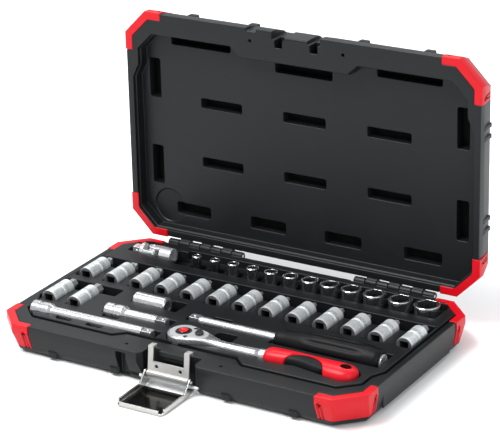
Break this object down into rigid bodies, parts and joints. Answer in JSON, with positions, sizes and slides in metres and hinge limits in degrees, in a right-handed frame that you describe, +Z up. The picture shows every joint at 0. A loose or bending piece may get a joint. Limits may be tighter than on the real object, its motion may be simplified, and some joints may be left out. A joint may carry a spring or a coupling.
{
  "type": "socket wrench set in case",
  "caption": "Hinged carrying case with a latch, holding a ratchet, spinner handle, sockets, bit sockets, extension bars and a universal joint.",
  "frame": {"origin": "centre of the case's outline, on the flat rest panel of the base's underside", "axes": "+X to the right along the hinge, +Y towards the hinge, +Z up, away from the rest panel"},
  "size_m": [0.2916, 0.2373, 0.1996],
  "materials": {
    "case_black": "satin blow-moulded polyethylene",
    "cap_red": "satin moulded plastic",
    "chrome": "polished chrome plate on steel",
    "satin_steel": "satin chrome plate on steel",
    "zinc": "pressed and zinc plated sheet steel",
    "dark_steel": "black oxide steel",
    "grip_red": "soft grip, satin",
    "grip_black": "soft grip, satin",
    "button_red": "moulded plastic"
  },
  "bodies": {
    "base": {"base_shell": "case_black", "base_corner_caps": "cap_red", "hinge_pins": "satin_steel", "latch_lever_pin": "satin_steel"},
    "lid": {"lid_shell": "case_black", "lid_corner_caps": "cap_red"},
    "latch_lever": {"latch_lever": "zinc", "latch_link_pin": "satin_steel"},
    "latch_link": {"latch_link": "zinc"},
    "socket_4": {"socket_4": "chrome"},
    "socket_4_5": {"socket_4_5": "chrome"},
    "socket_5": {"socket_5": "chrome"},
    "socket_5_5": {"socket_5_5": "chrome"},
    "socket_6": {"socket_6": "chrome"},
    "socket_7": {"socket_7": "chrome"},
    "socket_8": {"socket_8": "chrome"},
    "socket_9": {"socket_9": "chrome"},
    "socket_10": {"socket_10": "chrome"},
    "socket_11": {"socket_11": "chrome"},
    "socket_12": {"socket_12": "chrome"},
    "socket_13": {"socket_13": "chrome"},
    "bit_slot_4": {"bit_slot_4": "satin_steel"},
    "bit_slot_5_5": {"bit_slot_5_5": "satin_steel"},
    "bit_slot_7": {"bit_slot_7": "satin_steel"},
    "bit_cross_1": {"bit_cross_1": "satin_steel"},
    "bit_cross_2": {"bit_cross_2": "satin_steel"},
    "bit_cross_3": {"bit_cross_3": "satin_steel"},
    "bit_star_10": {"bit_star_10": "satin_steel"},
    "bit_star_15": {"bit_star_15": "satin_steel"},
    "bit_star_20": {"bit_star_20": "satin_steel"},
    "bit_star_25": {"bit_star_25": "satin_steel"},
    "bit_hex_3": {"bit_hex_3": "satin_steel"},
    "bit_hex_4": {"bit_hex_4": "satin_steel"},
    "bit_hex_5": {"bit_hex_5": "satin_steel"},
    "bit_hex_6": {"bit_hex_6": "satin_steel"},
    "bit_hex_7": {"bit_hex_7": "satin_steel"},
    "bit_adapter": {"bit_adapter": "chrome", "bit_adapter_magnet": "dark_steel"},
    "extension_long": {"extension_long": "chrome"},
    "extension_short": {"extension_short": "chrome"},
    "uj_socket_end": {"uj_socket_yoke": "chrome"},
    "uj_cross": {"uj_cross": "satin_steel"},
    "uj_drive_end": {"uj_drive_yoke": "chrome"},
    "ratchet": {"ratchet_body": "satin_steel", "ratchet_cover": "satin_steel", "ratchet_screws": "dark_steel", "ratchet_grip": "grip_red", "ratchet_grip_inlay": "grip_black"},
    "ratchet_drive": {"ratchet_drive_wheel": "dark_steel", "ratchet_button_spring": "satin_steel"},
    "ratchet_button": {"ratchet_release_button": "button_red"},
    "ratchet_reverser": {"ratchet_reverse_lever": "dark_steel", "ratchet_pawl": "satin_steel"},
    "spinner_handle": {"spinner_shaft": "chrome", "spinner_grip": "grip_black", "spinner_insert": "chrome"}
  },
  "joints": [
    {"name": "lid_hinge", "type": "hinge", "parent": "base", "child": "lid", "pos_m": [0, 0.0899, 0.0225], "axis": [-1, 0, 0], "range_deg": [-91.18, 0]},
    {"name": "latch_lever_hinge", "type": "hinge", "parent": "base", "child": "latch_lever", "pos_m": [0, -0.0829, 0.0056], "axis": [-1, 0, 0], "range_deg": [0, 90]},
    {"name": "latch_link_hinge", "type": "hinge", "parent": "latch_lever", "child": "latch_link", "pos_m": [0, -0.08462, 0.00987], "axis": [-1, 0, 0], "range_deg": [-90, 0]},
    {"name": "socket_4_lift", "type": "slide", "parent": "base", "child": "socket_4", "axis": [0, 0, 1], "range_m": [0, 0.06]},
    {"name": "socket_4_5_lift", "type": "slide", "parent": "base", "child": "socket_4_5", "axis": [0, 0, 1], "range_m": [0, 0.06]},
    {"name": "socket_5_lift", "type": "slide", "parent": "base", "child": "socket_5", "axis": [0, 0, 1], "range_m": [0, 0.06]},
    {"name": "socket_5_5_lift", "type": "slide", "parent": "base", "child": "socket_5_5", "axis": [0, 0, 1], "range_m": [0, 0.06]},
    {"name": "socket_6_lift", "type": "slide", "parent": "base", "child": "socket_6", "axis": [0, 0, 1], "range_m": [0, 0.06]},
    {"name": "socket_7_lift", "type": "slide", "parent": "base", "child": "socket_7", "axis": [0, 0, 1], "range_m": [0, 0.06]},
    {"name": "socket_8_lift", "type": "slide", "parent": "base", "child": "socket_8", "axis": [0, 0, 1], "range_m": [0, 0.06]},
    {"name": "socket_9_lift", "type": "slide", "parent": "base", "child": "socket_9", "axis": [0, 0, 1], "range_m": [0, 0.06]},
    {"name": "socket_10_lift", "type": "slide", "parent": "base", "child": "socket_10", "axis": [0, 0, 1], "range_m": [0, 0.06]},
    {"name": "socket_11_lift", "type": "slide", "parent": "base", "child": "socket_11", "axis": [0, 0, 1], "range_m": [0, 0.06]},
    {"name": "socket_12_lift", "type": "slide", "parent": "base", "child": "socket_12", "axis": [0, 0, 1], "range_m": [0, 0.06]},
    {"name": "socket_13_lift", "type": "slide", "parent": "base", "child": "socket_13", "axis": [0, 0, 1], "range_m": [0, 0.06]},
    {"name": "bit_slot_4_lift", "type": "slide", "parent": "base", "child": "bit_slot_4", "axis": [0, 0, 1], "range_m": [0, 0.06]},
    {"name": "bit_slot_5_5_lift", "type": "slide", "parent": "base", "child": "bit_slot_5_5", "axis": [0, 0, 1], "range_m": [0, 0.06]},
    {"name": "bit_slot_7_lift", "type": "slide", "parent": "base", "child": "bit_slot_7", "axis": [0, 0, 1], "range_m": [0, 0.06]},
    {"name": "bit_cross_1_lift", "type": "slide", "parent": "base", "child": "bit_cross_1", "axis": [0, 0, 1], "range_m": [0, 0.06]},
    {"name": "bit_cross_2_lift", "type": "slide", "parent": "base", "child": "bit_cross_2", "axis": [0, 0, 1], "range_m": [0, 0.06]},
    {"name": "bit_cross_3_lift", "type": "slide", "parent": "base", "child": "bit_cross_3", "axis": [0, 0, 1], "range_m": [0, 0.06]},
    {"name": "bit_star_10_lift", "type": "slide", "parent": "base", "child": "bit_star_10", "axis": [0, 0, 1], "range_m": [0, 0.06]},
    {"name": "bit_star_15_lift", "type": "slide", "parent": "base", "child": "bit_star_15", "axis": [0, 0, 1], "range_m": [0, 0.06]},
    {"name": "bit_star_20_lift", "type": "slide", "parent": "base", "child": "bit_star_20", "axis": [0, 0, 1], "range_m": [0, 0.06]},
    {"name": "bit_star_25_lift", "type": "slide", "parent": "base", "child": "bit_star_25", "axis": [0, 0, 1], "range_m": [0, 0.06]},
    {"name": "bit_hex_3_lift", "type": "slide", "parent": "base", "child": "bit_hex_3", "axis": [0, 0, 1], "range_m": [0, 0.06]},
    {"name": "bit_hex_4_lift", "type": "slide", "parent": "base", "child": "bit_hex_4", "axis": [0, 0, 1], "range_m": [0, 0.06]},
    {"name": "bit_hex_5_lift", "type": "slide", "parent": "base", "child": "bit_hex_5", "axis": [0, 0, 1], "range_m": [0, 0.06]},
    {"name": "bit_hex_6_lift", "type": "slide", "parent": "base", "child": "bit_hex_6", "axis": [0, 0, 1], "range_m": [0, 0.06]},
    {"name": "bit_hex_7_lift", "type": "slide", "parent": "base", "child": "bit_hex_7", "axis": [0, 0, 1], "range_m": [0, 0.06]},
    {"name": "bit_adapter_lift", "type": "slide", "parent": "base", "child": "bit_adapter", "axis": [0, 0, 1], "range_m": [0, 0.06]},
    {"name": "extension_long_lift", "type": "slide", "parent": "base", "child": "extension_long", "axis": [0, 0, 1], "range_m": [0, 0.06]},
    {"name": "extension_short_lift", "type": "slide", "parent": "base", "child": "extension_short", "axis": [0, 0, 1], "range_m": [0, 0.06]},
    {"name": "uj_lift", "type": "slide", "parent": "base", "child": "uj_socket_end", "axis": [0, 0, 1], "range_m": [0, 0.06]},
    {"name": "uj_swing_side", "type": "hinge", "parent": "uj_socket_end", "child": "uj_cross", "pos_m": [-0.11, 0.0655, 0.0229], "axis": [0, 0, -1], "range_deg": [0, 25]},
    {"name": "uj_swing_up", "type": "hinge", "parent": "uj_cross", "child": "uj_drive_end", "pos_m": [-0.11, 0.0655, 0.0229], "axis": [0, 1, 0], "range_deg": [0, 38]},
    {"name": "ratchet_lift", "type": "slide", "parent": "base", "child": "ratchet", "axis": [0, 0, 1], "range_m": [0, 0.06]},
    {"name": "ratchet_drive_spin", "type": "hinge", "parent": "ratchet", "child": "ratchet_drive", "pos_m": [-0.0084, -0.0505, 0.0228], "axis": [0, 0, 1], "continuous": true},
    {"name": "ratchet_button_press", "type": "slide", "parent": "ratchet_drive", "child": "ratchet_button", "axis": [0, 0, -1], "range_m": [0, 0.0012], "stiffness_N_per_m": 400, "springref_m": -0.0006, "deforming": ["ratchet_button_spring"]},
    {"name": "ratchet_reverse_turn", "type": "hinge", "parent": "ratchet", "child": "ratchet_reverser", "pos_m": [0.0042, -0.0505, 0.0228], "axis": [0, 0, 1], "range_deg": [0, 45]},
    {"name": "spinner_handle_lift", "type": "slide", "parent": "base", "child": "spinner_handle", "axis": [0, 0, 1], "range_m": [0, 0.06]}
  ],
  "couplings": [
    {"joint": "latch_link_hinge", "follows": "latch_lever_hinge", "ratio": -1}
  ]
}
